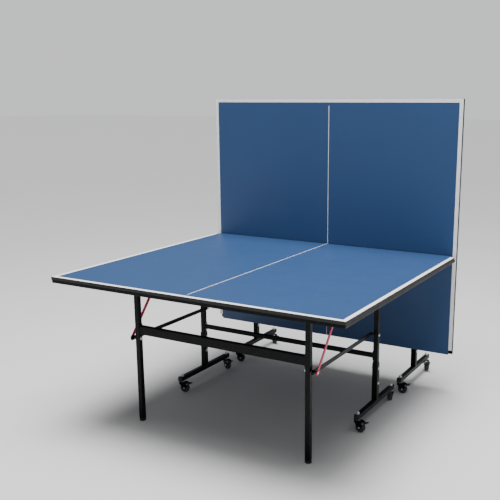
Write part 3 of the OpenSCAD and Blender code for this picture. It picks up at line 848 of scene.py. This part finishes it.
def makeTopBolts(half):
    bm = bmesh.new()
    ear = tubeSize / 2 + bracket["slack"] / 2 + bracket["sheet"]
    for s in (-1, 1):
        for x, y, radius, (head, nut) in ((postX, hingeY, bracket["hingePin"], bolts["hinge"]),
                                          (legX, legY, bracket["pin"], bolts["legHinge"])):
            shaft(bm, s * (x - ear), s * (x + ear), y, hingeZ, radius)
            addHead(bm, s * (x - ear), y, hingeZ, -s, *head)
            addNut(bm, s * (x + ear), y, hingeZ, s, *nut)
        outer = lockX[1] + bracket["lockGap"] + bracket["sheet"]
        inner = lockX[0] - bolts["gap"]
        shaft(bm, s * inner, s * outer, lockY, lockZ, bracket["pin"])
        addHead(bm, s * inner, lockY, lockZ, -s, *bolts["lockHead"])
        addNut(bm, s * outer, lockY, lockZ, s, *bolts["lockNut"])
    finishNode(half, "top", "top_bolts", "zinc", bm, (zinc,), 0)


# Legs: square tube with a plug on top and a threaded insert for the foot
leg = {"insert": 0.028, "stemHole": 0.0043, "boltHole": 0.0043}


def makeLeg(half, side, sign):
    s = drawnSign(half, sign)
    top = hingeZ + tubeSize / 2
    bm = bmesh.new()
    plate(bm, tubeOutlines(tubeSize, s * legX, legY), legFoot, top)
    plate(bm, [roundRect(tubeSize - 0.0031, tubeSize - 0.0031, 0.0014, 4, s * legX, legY),
               ring(s * legX, legY, leg["stemHole"], 24)], legFoot + 0.0003, legFoot + leg["insert"], "z", 1)
    addPlug(bm, tubeSize, s * legX, legY, top)
    drills = bmesh.new()
    reach = tubeSize
    drillX(drills, s * legX - reach, s * legX + reach, legY, stayZ, leg["boltHole"])
    drillX(drills, s * legX - reach, s * legX + reach, legY, hingeZ, bracket["pin"] + bracket["fit"])
    name = half + side.title() + "Leg"
    piece = finishMesh(name, bm, restPlace(half, "legs"), (frameBlack, plugBlack), tube["bevel"], drills)
    attach(piece, half + "_legs", "frame_black", half + "_" + side + "_leg")


# Flat oval cross panel with a welded flange at each end
panel = {"flange": 0.003, "margin": 0.005, "sheet": 0.0015, "edge": 0.0003, "bead": (0.0013, 0.0017)}


def ovalOutline(width, height, cx, cy):
    r = width / 2
    rise = (height - width) / 2
    return arc(cx, cy + rise, r, 0, 180, 14) + arc(cx, cy - rise, r, 180, 360, 14)


def makeLegPanel(half):
    inner = legX - tubeSize / 2
    end = inner - panel["flange"]
    z = (panelBox[0].z + panelBox[1].z) / 2
    high = panelBox[1].z - panelBox[0].z
    deep = panelBox[1].y - panelBox[0].y
    tall, thick = high - 2 * panel["margin"], deep - panel["flange"]
    bm = bmesh.new()
    hollow = 2 * panel["sheet"]
    outer = ovalOutline(thick, tall, legY, z)
    plate(bm, [outer, ovalOutline(thick - hollow, tall - hollow, legY, z)], -end, end, "x")
    beads = []
    for s in (-1, 1):
        plate(bm, [roundRect(deep, high, 0.004, 4, legY, z)], s * end, s * inner, "x")
        beads.append(([(s * end, a, b) for a, b in outer], True))
    finishNode(half, "legs", "leg_panel", "frame_black", bm, (frameBlack,), panel["edge"])
    weld(half, "legs", "LegPanelWelds", beads, panel["bead"], 11)


def makeLegBolts(half):
    bm = bmesh.new()
    pin = bracket["pin"]
    for s in (-1, 1):
        inner, outer = legX - tubeSize / 2, legX + tubeSize / 2
        tip = lockX[1] + bolts["gap"]
        shaft(bm, s * inner, s * tip, legY, stayZ, pin)
        addNut(bm, s * inner, legY, stayZ, -s, *bolts["legNut"])
        addSpacer(bm, s * outer, s * (stayX[0] - bolts["gap"]), legY, stayZ, bolts["spacer"], pin, 1)
        start, end = stayX[1] + bolts["gap"], lockX[0] - bolts["gap"]
        addSpacer(bm, s * start, s * end, legY, stayZ, bolts["spacer"], pin, 1)
        addHead(bm, s * tip, legY, stayZ, s, *bolts["legHead"])
    finishNode(half, "legs", "leg_bolts", "zinc", bm, (zinc, plugBlack), 0)


# Levelling foot: ribbed rubber pad on a threaded stem
foot = {"radius": 0.0157, "ribs": 22, "rib": (0.0012, 0.0018, 0.0040), "stem": 0.0039, "thread": 0.0034,
        "pitch": 0.00125, "stemStart": 0.0105, "stemTop": 0.044}


def makeFoot(half, side, sign):
    s = drawnSign(half, sign)
    place = restPlace(half, "legs") @ Matrix.Translation((s * legX, legY, 0))
    r = foot["radius"]
    bm = bmesh.new()
    lathe(bm, [(0, 0), (r - 0.0014, 0), (r, 0.0012), (r, 0.0056), (r - 0.0006, 0.0066),
               (r - 0.0024, 0.0078), (0.0112, 0.0088), (0.0098, 0.0092), (0.0098, 0.0108),
               (0.0092, 0.0113), (0, 0.0113)], segments=48)
    start, pitch = foot["stemStart"], foot["pitch"]
    thread = [(0, start)]
    for i in range(int((foot["stemTop"] - start) / pitch)):
        h = start + i * pitch
        thread += [(foot["thread"], h), (foot["stem"], h + pitch * 0.4), (foot["stem"], h + pitch * 0.6)]
    lathe(bm, thread + [(foot["thread"], foot["stemTop"]), (0, foot["stemTop"])], segments=20, slot=1)
    name = half + side.title() + "Foot"
    body = half + "_" + side + "_foot"
    attach(finishMesh(name, bm, place, (footRubber, zinc), 0), body, "foot_rubber", body)
    ribs = grow(name + "Ribs", ribTree, place, footRubber, Count=foot["ribs"], Ring=r - 0.0002,
                Rib=foot["rib"], Lift=0.0034)
    attach(ribs, body, "foot_rubber")


stay = {"width": 0.020, "over": 0.027, "looseHole": 0.0046, "edge": 0.0005}


def makeStay(half, side, sign):
    s = drawnSign(half, sign)
    r = stay["width"] / 2
    end = legY + stay["over"] - r
    rim = arc(hingeY, stayZ, r, 90, 270, 16) + arc(end, stayZ, r, 270, 450, 16)
    bore = ring(hingeY, stayZ, bracket["pin"] + bracket["fit"], 28)
    bm = bmesh.new()
    plate(bm, [rim, bore, ring(legY, stayZ, stay["looseHole"], 28)], s * stayX[0], s * stayX[1], "x")
    body = half + "_" + side + "_stay"
    place = restPlace(half, "stay")
    piece = finishMesh(half + side.title() + "Stay", bm, place, (frameBlack,), stay["edge"])
    attach(piece, body, "frame_black", body)


# Lock bar: it points down from its pivot, and its slanted notch drops over the leg's pin
lockBar = {"width": 0.016, "eye": 0.010, "over": 0.014, "notch": 0.0046, "slant": 23.5, "edge": 0.0005}


def lockOutlines():
    r, half = lockBar["width"] / 2, lockBar["notch"]
    away = math.radians(-90 - lockBar["slant"])
    slot = Vector((math.cos(away), math.sin(away)))
    across = Vector((-slot.y, slot.x))
    centre = Vector((lockLength, 0))
    near, far = centre - across * half, centre + across * half
    turn = math.degrees(math.atan2(-across.y, -across.x))
    mouths = [p + slot * ((-r - p.y) / slot.y) for p in (near, far)]
    lean = math.degrees(math.asin(r / lockBar["eye"]))
    rim = [tuple(mouths[0])] + arc(centre.x, 0, half, turn, turn - 180, 16) + [tuple(mouths[1])]
    end = lockLength + lockBar["over"] - r
    rim += arc(end, 0, r, 270, 450, 16) + arc(0, 0, lockBar["eye"], lean, 360 - lean, 24)
    return [rim, ring(0, 0, bracket["pin"] + bracket["fit"], 28)]


def makeLockBar(half, side, sign):
    s = drawnSign(half, sign)
    c, d = math.cos(lockSlope), math.sin(lockSlope)
    outlines = [[(lockY + u * c + v * d, lockZ - u * d + v * c) for u, v in o] for o in lockOutlines()]
    bm = bmesh.new()
    plate(bm, outlines, s * lockX[0], s * lockX[1], "x")
    body = half + "_" + side + "_lock_bar"
    place = restPlace(half, "lock")
    piece = finishMesh(half + side.title() + "LockBar", bm, place, (lockRed,), lockBar["edge"])
    attach(piece, body, "lock_red", body)


# Carriage: uprights in welded sleeves on floor beams, tied by a crossbeam
carriage = {"lift": 0.020, "sleeveBore": 0.0254, "cap": 0.003, "bead": (0.0017, 0.0020),
            "boltHole": 0.0043, "crossHole": 0.0033, "casterHole": 0.0053, "crossTube": 0.022,
            "crossBead": (0.0013, 0.0017), "crossBolt": 0.017, "flange": 0.003,
            "sleeveBolts": (0.028, 0.107)}
crossZ = (crossBox[0].z + crossBox[1].z) / 2
crossBoltZ = (crossZ - carriage["crossBolt"], crossZ + carriage["crossBolt"])
beamBase = beamLow.z
beamTop = beamBase + tubeSize


def makeUprights(half):
    bm, drills = bmesh.new(), bmesh.new()
    top = hingeZ + tubeSize / 2
    for s in (-1, 1):
        x = s * postX
        plate(bm, tubeOutlines(tubeSize, x, hingeY), beamTop + carriage["lift"], top)
        addPlug(bm, tubeSize, x, hingeY, top)
        drillX(drills, x - tubeSize, x + tubeSize, hingeY, hingeZ, bracket["hingePin"] + bracket["fit"])
        for z in [stayZ] + [sleeveTop - d for d in carriage["sleeveBolts"]]:
            drillX(drills, x - tubeSize, x + tubeSize, hingeY, z, carriage["boltHole"])
        for z in crossBoltZ:
            drillX(drills, x - s * tubeSize, x, hingeY, z, carriage["crossHole"])
    finishNode(half, "carriage", "uprights", "frame_black", bm, (frameBlack, plugBlack), tube["bevel"],
               drills)


def makeFloorFrames(half):
    bm, drills = bmesh.new(), bmesh.new()
    beads = []
    beamZ = beamBase + tubeSize / 2
    reach = beamHalf - carriage["cap"]
    for s in (-1, 1):
        x = s * postX
        plate(bm, tubeOutlines(tubeSize, x, beamZ), hingeY - reach, hingeY + reach, "y")
        for e in (-1, 1):
            addPlug(bm, tubeSize, x, beamZ, hingeY + e * reach, e, "y")
            hole = ring(x, hingeY + e * casterReach, carriage["casterHole"], 28)
            plate(drills, [hole], beamBase - 0.01, beamTop + 0.01)
        plate(bm, [roundRect(sleeveSize, sleeveSize, 0.004, 5, x, hingeY),
                   roundRect(carriage["sleeveBore"], carriage["sleeveBore"], 0.003, 5, x, hingeY)],
              beamTop - 0.0004, sleeveTop)
        for d in carriage["sleeveBolts"]:
            drillX(drills, x - sleeveSize, x + sleeveSize, hingeY, sleeveTop - d, carriage["boltHole"])
        base = roundRect(tubeSize + 0.001, sleeveSize + 0.001, 0.002, 2, x, hingeY)
        beads.append(([(a, b, beamTop) for a, b in base], True))
    finishNode(half, "carriage", "floor_frames", "frame_black", bm, (frameBlack, plugBlack),
               tube["bevel"], drills)
    weld(half, "carriage", "SleeveWelds", beads, carriage["bead"], 13)


def makeCrossbeam(half):
    bm, drills = bmesh.new(), bmesh.new()
    inner = postX - tubeSize / 2
    end = inner - carriage["flange"]
    size = crossBox[1].z - crossBox[0].z
    square = carriage["crossTube"]
    plate(bm, tubeOutlines(square, hingeY, crossZ), -end, end, "x")
    beads = []
    for s in (-1, 1):
        plate(bm, [roundRect(tubeSize, size, 0.003, 4, hingeY, crossZ)], s * end, s * inner, "x")
        for z in crossBoltZ:
            drillX(drills, s * (end - 0.002), s * (inner + 0.002), hingeY, z, carriage["crossHole"])
        rim = roundRect(square, square, 0.003, 3, hingeY, crossZ)
        beads.append(([(s * end, a, b) for a, b in rim], True))
    finishNode(half, "carriage", "crossbeam", "frame_black", bm, (frameBlack,), tube["bevel"], drills)
    weld(half, "carriage", "CrossbeamWelds", beads, carriage["crossBead"], 17)


caster = {"crown": 0.0565, "crownSheet": 0.003, "inside": 0.0113, "sheet": 0.0025, "trail": 0.016,
          "axle": 0.025, "axlePin": 0.003, "pedalX": 0.034, "pedalZ": 0.050, "pedalPin": 0.002,
          "stem": 0.005, "fit": 0.0001, "edge": 0.0006, "slope": 15, "press": 14}


def makeCarriageBolts(half):
    bm = bmesh.new()
    face, sleeve, pin = tubeSize / 2, sleeveSize / 2, bracket["pin"]
    nutRadius, nutHeight = bolts["stemNut"]
    for s in (-1, 1):
        x = s * postX
        shaft(bm, s * (stayX[0] - bolts["gap"]), x + s * face, hingeY, stayZ, pin)
        addSpacer(bm, s * (stayX[1] + bolts["gap"]), x - s * face, hingeY, stayZ, bolts["spacer"], pin, 1)
        addNut(bm, s * (stayX[0] - bolts["gap"]), hingeY, stayZ, -s, *bolts["stayNut"])
        addHead(bm, x + s * face, hingeY, stayZ, s, *bolts["postHead"])
        for d in carriage["sleeveBolts"]:
            z = sleeveTop - d
            shaft(bm, x - s * sleeve, x + s * sleeve, hingeY, z, pin)
            addHead(bm, x + s * sleeve, hingeY, z, s, *bolts["postHead"])
            addNut(bm, x - s * sleeve, hingeY, z, -s, *bolts["sleeveNut"])
        for z in crossBoltZ:
            start = x - s * (face + carriage["flange"])
            shaft(bm, start, x - s * (face - 0.008), hingeY, z, bolts["crossShank"], 0, "x", 18)
            addHead(bm, start, hingeY, z, -s, *bolts["crossHead"])
        for e in (-1, 1):
            y = hingeY + e * casterReach
            under = caster["crown"] - 0.0003
            shaft(bm, under - 0.001, beamTop + 0.001, x, y, caster["stem"], 0, "z")
            stemHead = [(0, -0.0036), (0.0070, -0.0036), (0.0080, -0.0026), (0.0080, 0), (0, 0)]
            lathe(bm, stemHead, (x, y, under))
            stand = Matrix.Translation((x, y, beamTop)) @ Matrix.Rotation(0.4 * e + 0.3 * s, 4, "Z")
            stamp(bm, lockNut, stand @ Matrix.Diagonal((nutRadius, nutRadius, nutHeight, 1)))
    finishNode(half, "carriage", "carriage_bolts", "zinc", bm, (zinc, plugBlack), 0)


# A caster is drawn with x trailing behind its swivel and z up from the floor
def casterPlace(name):
    swivel, roll = jointAt(name + "_swivel"), jointAt(name + "_roll")
    heading = math.atan2(roll.y - swivel.y, roll.x - swivel.x)
    return Matrix.Translation((swivel.x, swivel.y, 0)) @ Matrix.Rotation(heading, 4, "Z")


# Stamped fork: crown plate, two cheeks, the ball race under the beam, axle bolt and pedal rivet
def makeFork(title, body, place):
    bm = bmesh.new()
    c = caster
    top = c["crown"] + c["crownSheet"]
    back, outer = -0.014, c["inside"] + c["sheet"]
    front = c["trail"] + 0.008
    crown = [(back, -outer), (front, -outer), (front, outer), (back, outer)]
    plate(bm, [crown, ring(0, 0, c["stem"] + c["fit"], 28)], c["crown"], top)
    cheek = [(back, top - 0.0005), (back, top - 0.009)] + arc(c["trail"], c["axle"], 0.009, 196, 345, 12)
    cheek += arc(c["pedalX"], c["pedalZ"], 0.005, -32, 105, 10) + [(front, top - 0.0005)]
    for side in (-1, 1):
        bore = ring(c["trail"], c["axle"], c["axlePin"] + c["fit"], 20)
        plate(bm, [cheek, bore], side * c["inside"], side * outer, "y")
    piece = finishMesh(title + "Fork", bm, place, (frameBlack,), c["edge"])
    attach(piece, body + "_fork", "frame_black", body + "_fork")
    bm = bmesh.new()
    inner = c["stem"] + c["fit"]
    race = [(inner, -0.0004), (0.0132, -0.0004), (0.0136, 0.0006), (0.0130, 0.0018), (0.0112, 0.0022),
            (0.0112, 0.0026), (0.0122, 0.0029), (0.0120, 0.0038), (0.0100, 0.0042), (inner, 0.0042)]
    lathe(bm, [(a, top + b) for a, b in race], segments=40, closed=True)
    shaft(bm, -outer - 0.0004, outer + 0.0004, c["trail"], c["axle"], c["axlePin"], 0, "y")
    shaft(bm, -outer - 0.0002, outer + 0.0002, c["pedalX"], c["pedalZ"], c["pedalPin"], 0, "y")
    swing = Matrix.Rotation(math.radians(90), 4, "Z")
    for side in (-1, 1):
        for x, z, radius, height in ((c["trail"], c["axle"], 0.0052, 0.0022),
                                     (c["pedalX"], c["pedalZ"], 0.0034, 0.0014)):
            spot = Matrix.Translation((x, side * outer, z))
            stamp(bm, roundHead, spot @ swing @ facing(0, 0, 0, side, radius, height))
    attach(finishMesh(title + "ForkRace", bm, place, (zinc,), 0), body + "_fork", "zinc")


# Wheel: rubber tyre with a crowned tread on a ribbed plastic hub
wheel = {"radius": 0.025, "half": 0.010, "seat": 0.0172, "hubRibs": 6, "ribRing": 0.0117,
         "ribLong": 0.0070, "ribThick": 0.0013, "shoulder": 0.0038}


def makeWheel(title, body, place):
    r, w, q = wheel["radius"], wheel["half"], wheel["shoulder"]
    spot = (caster["trail"], 0, caster["axle"])
    tyre = [(wheel["seat"], -w + 0.0010), (0.0188, -w + 0.0002)]
    tyre += arc(r - q - 0.0004, q - w, q, -90, 0, 6)
    tyre += [(r - 0.0001, -0.0030), (r, -0.0012), (r - 0.0003, 0)]
    tyre += [(a, -b) for a, b in reversed(tyre[:-1])]
    bm = bmesh.new()
    lathe(bm, tyre, spot, "y", 1, 72, 0, closed=True)
    bore, e = caster["axlePin"] + caster["fit"], w - 0.0004
    hub = [(bore, -e), (0.0074, -e), (0.0082, -e + 0.0008), (0.0086, -0.0034), (0.0092, -0.0026),
           (0.0140, -0.0022), (0.0147, -0.0030), (0.0151, -e + 0.0016), (0.0156, -e + 0.0011),
           (0.0174, -e + 0.0011)]
    hub += [(a, -b) for a, b in reversed(hub)]
    lathe(bm, hub, spot, "y", 1, 60, 1, closed=True)
    piece = finishMesh(title + "Wheel", bm, place, (wheelRubber, hubGrey), 0)
    attach(piece, body + "_wheel", "wheel_rubber", body + "_wheel")
    upright = place @ Matrix.Translation(spot) @ Matrix.Rotation(math.radians(90), 4, "X")
    rib = (wheel["ribLong"], wheel["ribThick"], 2 * (w - 0.0022))
    ribs = grow(title + "HubRibs", ribTree, upright, hubGrey, Count=wheel["hubRibs"],
                Ring=wheel["ribRing"], Rib=rib, Lift=0.0)
    attach(ribs, body + "_wheel", "wheel_rubber")


# Brake pedal: barrel on its rivet, the cam that meets the wheel, and a foot tab with grips
pedal = {"barrel": 0.0045, "cam": 0.002, "camReach": 0.0035, "tabStart": 0.007, "tabEnd": 0.024,
         "tabThick": 0.004, "neckInset": 0.0016, "edge": 0.0007, "grips": 5, "gripStep": 0.0029,
         "gripRadius": 0.0007}


def makePedal(title, body, place):
    c, p = caster, pedal
    arm = 2 * c["inside"] - 0.0006
    wide = 2 * (c["inside"] + c["sheet"])
    pivot = place @ Matrix.Translation((c["pedalX"], 0, c["pedalZ"]))
    tilt = Matrix.Rotation(math.radians(-c["slope"]), 4, "Y")
    bm = bmesh.new()
    bore = c["pedalPin"] + c["fit"]
    half = arm / 2
    barrel, cut = p["barrel"], 0.0005
    lathe(bm, [(bore, -half), (barrel - cut, -half), (barrel, cut - half), (barrel, half - cut),
               (barrel - cut, half), (bore, half)], (0, 0, 0), "y", 1, 32, 0, closed=True)
    toWheel = math.atan2(c["axle"] - c["pedalZ"], c["trail"] - c["pedalX"]) + math.radians(c["press"])
    x, z = p["camReach"] * math.cos(toWheel), p["camReach"] * math.sin(toWheel)
    shaft(bm, -half + 0.003, half - 0.003, x, z, p["cam"], 0, "y")
    piece = finishMesh(title + "PedalBarrel", bm, pivot, (pedalBlack,), 0)
    attach(piece, body + "_pedal", "pedal_plastic")
    bm = bmesh.new()
    t = p["tabThick"] / 2
    middle, length = (p["tabStart"] + p["tabEnd"]) / 2, p["tabEnd"] - p["tabStart"]
    plate(bm, [roundRect(length, wide, 0.004, 5, middle, 0)], -t, t)
    side, near, far = half - p["neckInset"], 0.0028, p["tabStart"] + 0.002
    plate(bm, [[(near, -side), (far, -side), (far, side), (near, side)]], 0.0003 - t, t - 0.0003)
    piece = finishMesh(title + "Pedal", bm, pivot @ tilt, (pedalBlack,), p["edge"])
    attach(piece, body + "_pedal", "pedal_plastic", body + "_pedal")
    grips = grow(title + "PedalGrips", gripTree, pivot @ tilt, pedalBlack, Count=p["grips"],
                 Start=(p["tabStart"] + 0.0028, 0, t), Step=(p["gripStep"], 0, 0), Bar=p["gripRadius"],
                 Length=wide - 0.007)
    attach(grips, body + "_pedal", "pedal_plastic")


for half in halves:
    makeBoard(half)
    makeEdgeFrame(half)
    makeHingeBrackets(half)
    makeTopBolts(half)
    makeLegPanel(half)
    makeLegBolts(half)
    makeUprights(half)
    makeFloorFrames(half)
    makeCrossbeam(half)
    makeCarriageBolts(half)
    for side, sign in sides:
        makeLeg(half, side, sign)
        makeFoot(half, side, sign)
        makeStay(half, side, sign)
        makeLockBar(half, side, sign)
        for spot in ("outer", "inner"):
            title = half + side.title() + spot.title()
            body = half + "_" + side + "_" + spot
            makeFork(title, body, casterPlace(body))
            makeWheel(title, body, casterPlace(body))
            makePedal(title, body, casterPlace(body))
    print(half, "half made")
bpy.data.objects.remove(screwHead)


# Studio: a wide pale floor, an even light straight down, a broad lamp overhead and a weak one in front
studio = {
    "floorColour": (0.80, 0.80, 0.80),
    "floorReach": 60.0,
    "sky": (0.95, 0.96, 0.98),
    "skyLight": 0.23,
    "skySeen": 0.84,
    "downLight": 2.4,
    "downSpread": 28.0,
    "overheadPower": 250.0,
    "fillPower": 10.0,
}


def makeStudio():
    bm = bmesh.new()
    reach = studio["floorReach"]
    plate(bm, [[(-reach, -reach), (reach, -reach), (reach, reach), (-reach, reach)]], -0.05, 0)
    floorMat, tree, shader = newMaterial("studioFloor", Roughness=0.85)
    tone = noise(tree, 1.2, 2.0)
    low = tuple(c * 0.98 for c in studio["floorColour"])
    setColour(shader, ramp(tree, tone, (0.3, low), (0.7, studio["floorColour"])))
    floor = finishMesh("studioFloor", bm, Matrix(), (floorMat,), 0)
    world = bpy.data.worlds.new("studioSky")
    bpy.context.scene.world = world
    world.use_nodes = True
    sky = world.node_tree.nodes["Background"]
    sky.inputs["Color"].default_value = (*studio["sky"], 1)
    seen = addNode(world.node_tree, "ShaderNodeLightPath").outputs["Is Camera Ray"]  # a paler horizon
    extra = maths(world.node_tree, "MULTIPLY", seen, studio["skySeen"] - studio["skyLight"])
    feed(sky.inputs["Strength"], maths(world.node_tree, "ADD", extra, studio["skyLight"]))
    even = bpy.data.lights.new("downLight", "SUN")
    even.energy = studio["downLight"]
    even.angle = math.radians(studio["downSpread"])
    bpy.context.scene.collection.objects.link(bpy.data.objects.new("downLight", even))
    for name, spot, target, size, power in (
            ("overhead", (0.5, -0.45, 4.6), (0, -0.1, 0.7), 3.4, studio["overheadPower"]),
            ("frontFill", (2.6, -4.4, 2.4), (0, 0.2, 0.6), 2.6, studio["fillPower"])):
        lamp = bpy.data.lights.new(name, "AREA")
        lamp.size = size
        lamp.energy = power
        holder = bpy.data.objects.new(name, lamp)
        holder.location = spot
        holder.rotation_euler = (Vector(target) - Vector(spot)).to_track_quat("-Z", "Y").to_euler()
        bpy.context.scene.collection.objects.link(holder)


view = {
    "place": (1.8989, -3.2958, 1.5689),
    "heading": 28.99,
    "down": 12.58,
    "lens": 54.15,
    "shift": (-0.0862, 0.036),
}


def makeCamera():
    lens = bpy.data.cameras.new("camera")
    lens.lens = view["lens"]
    lens.sensor_width = 36
    lens.shift_x, lens.shift_y = view["shift"]
    camera = bpy.data.objects.new("camera", lens)
    camera.location = view["place"]
    camera.rotation_euler = (math.radians(90 - view["down"]), 0, math.radians(view["heading"]))
    bpy.context.scene.collection.objects.link(camera)
    bpy.context.scene.camera = camera


makeStudio()
makeCamera()
print("studio and camera made")
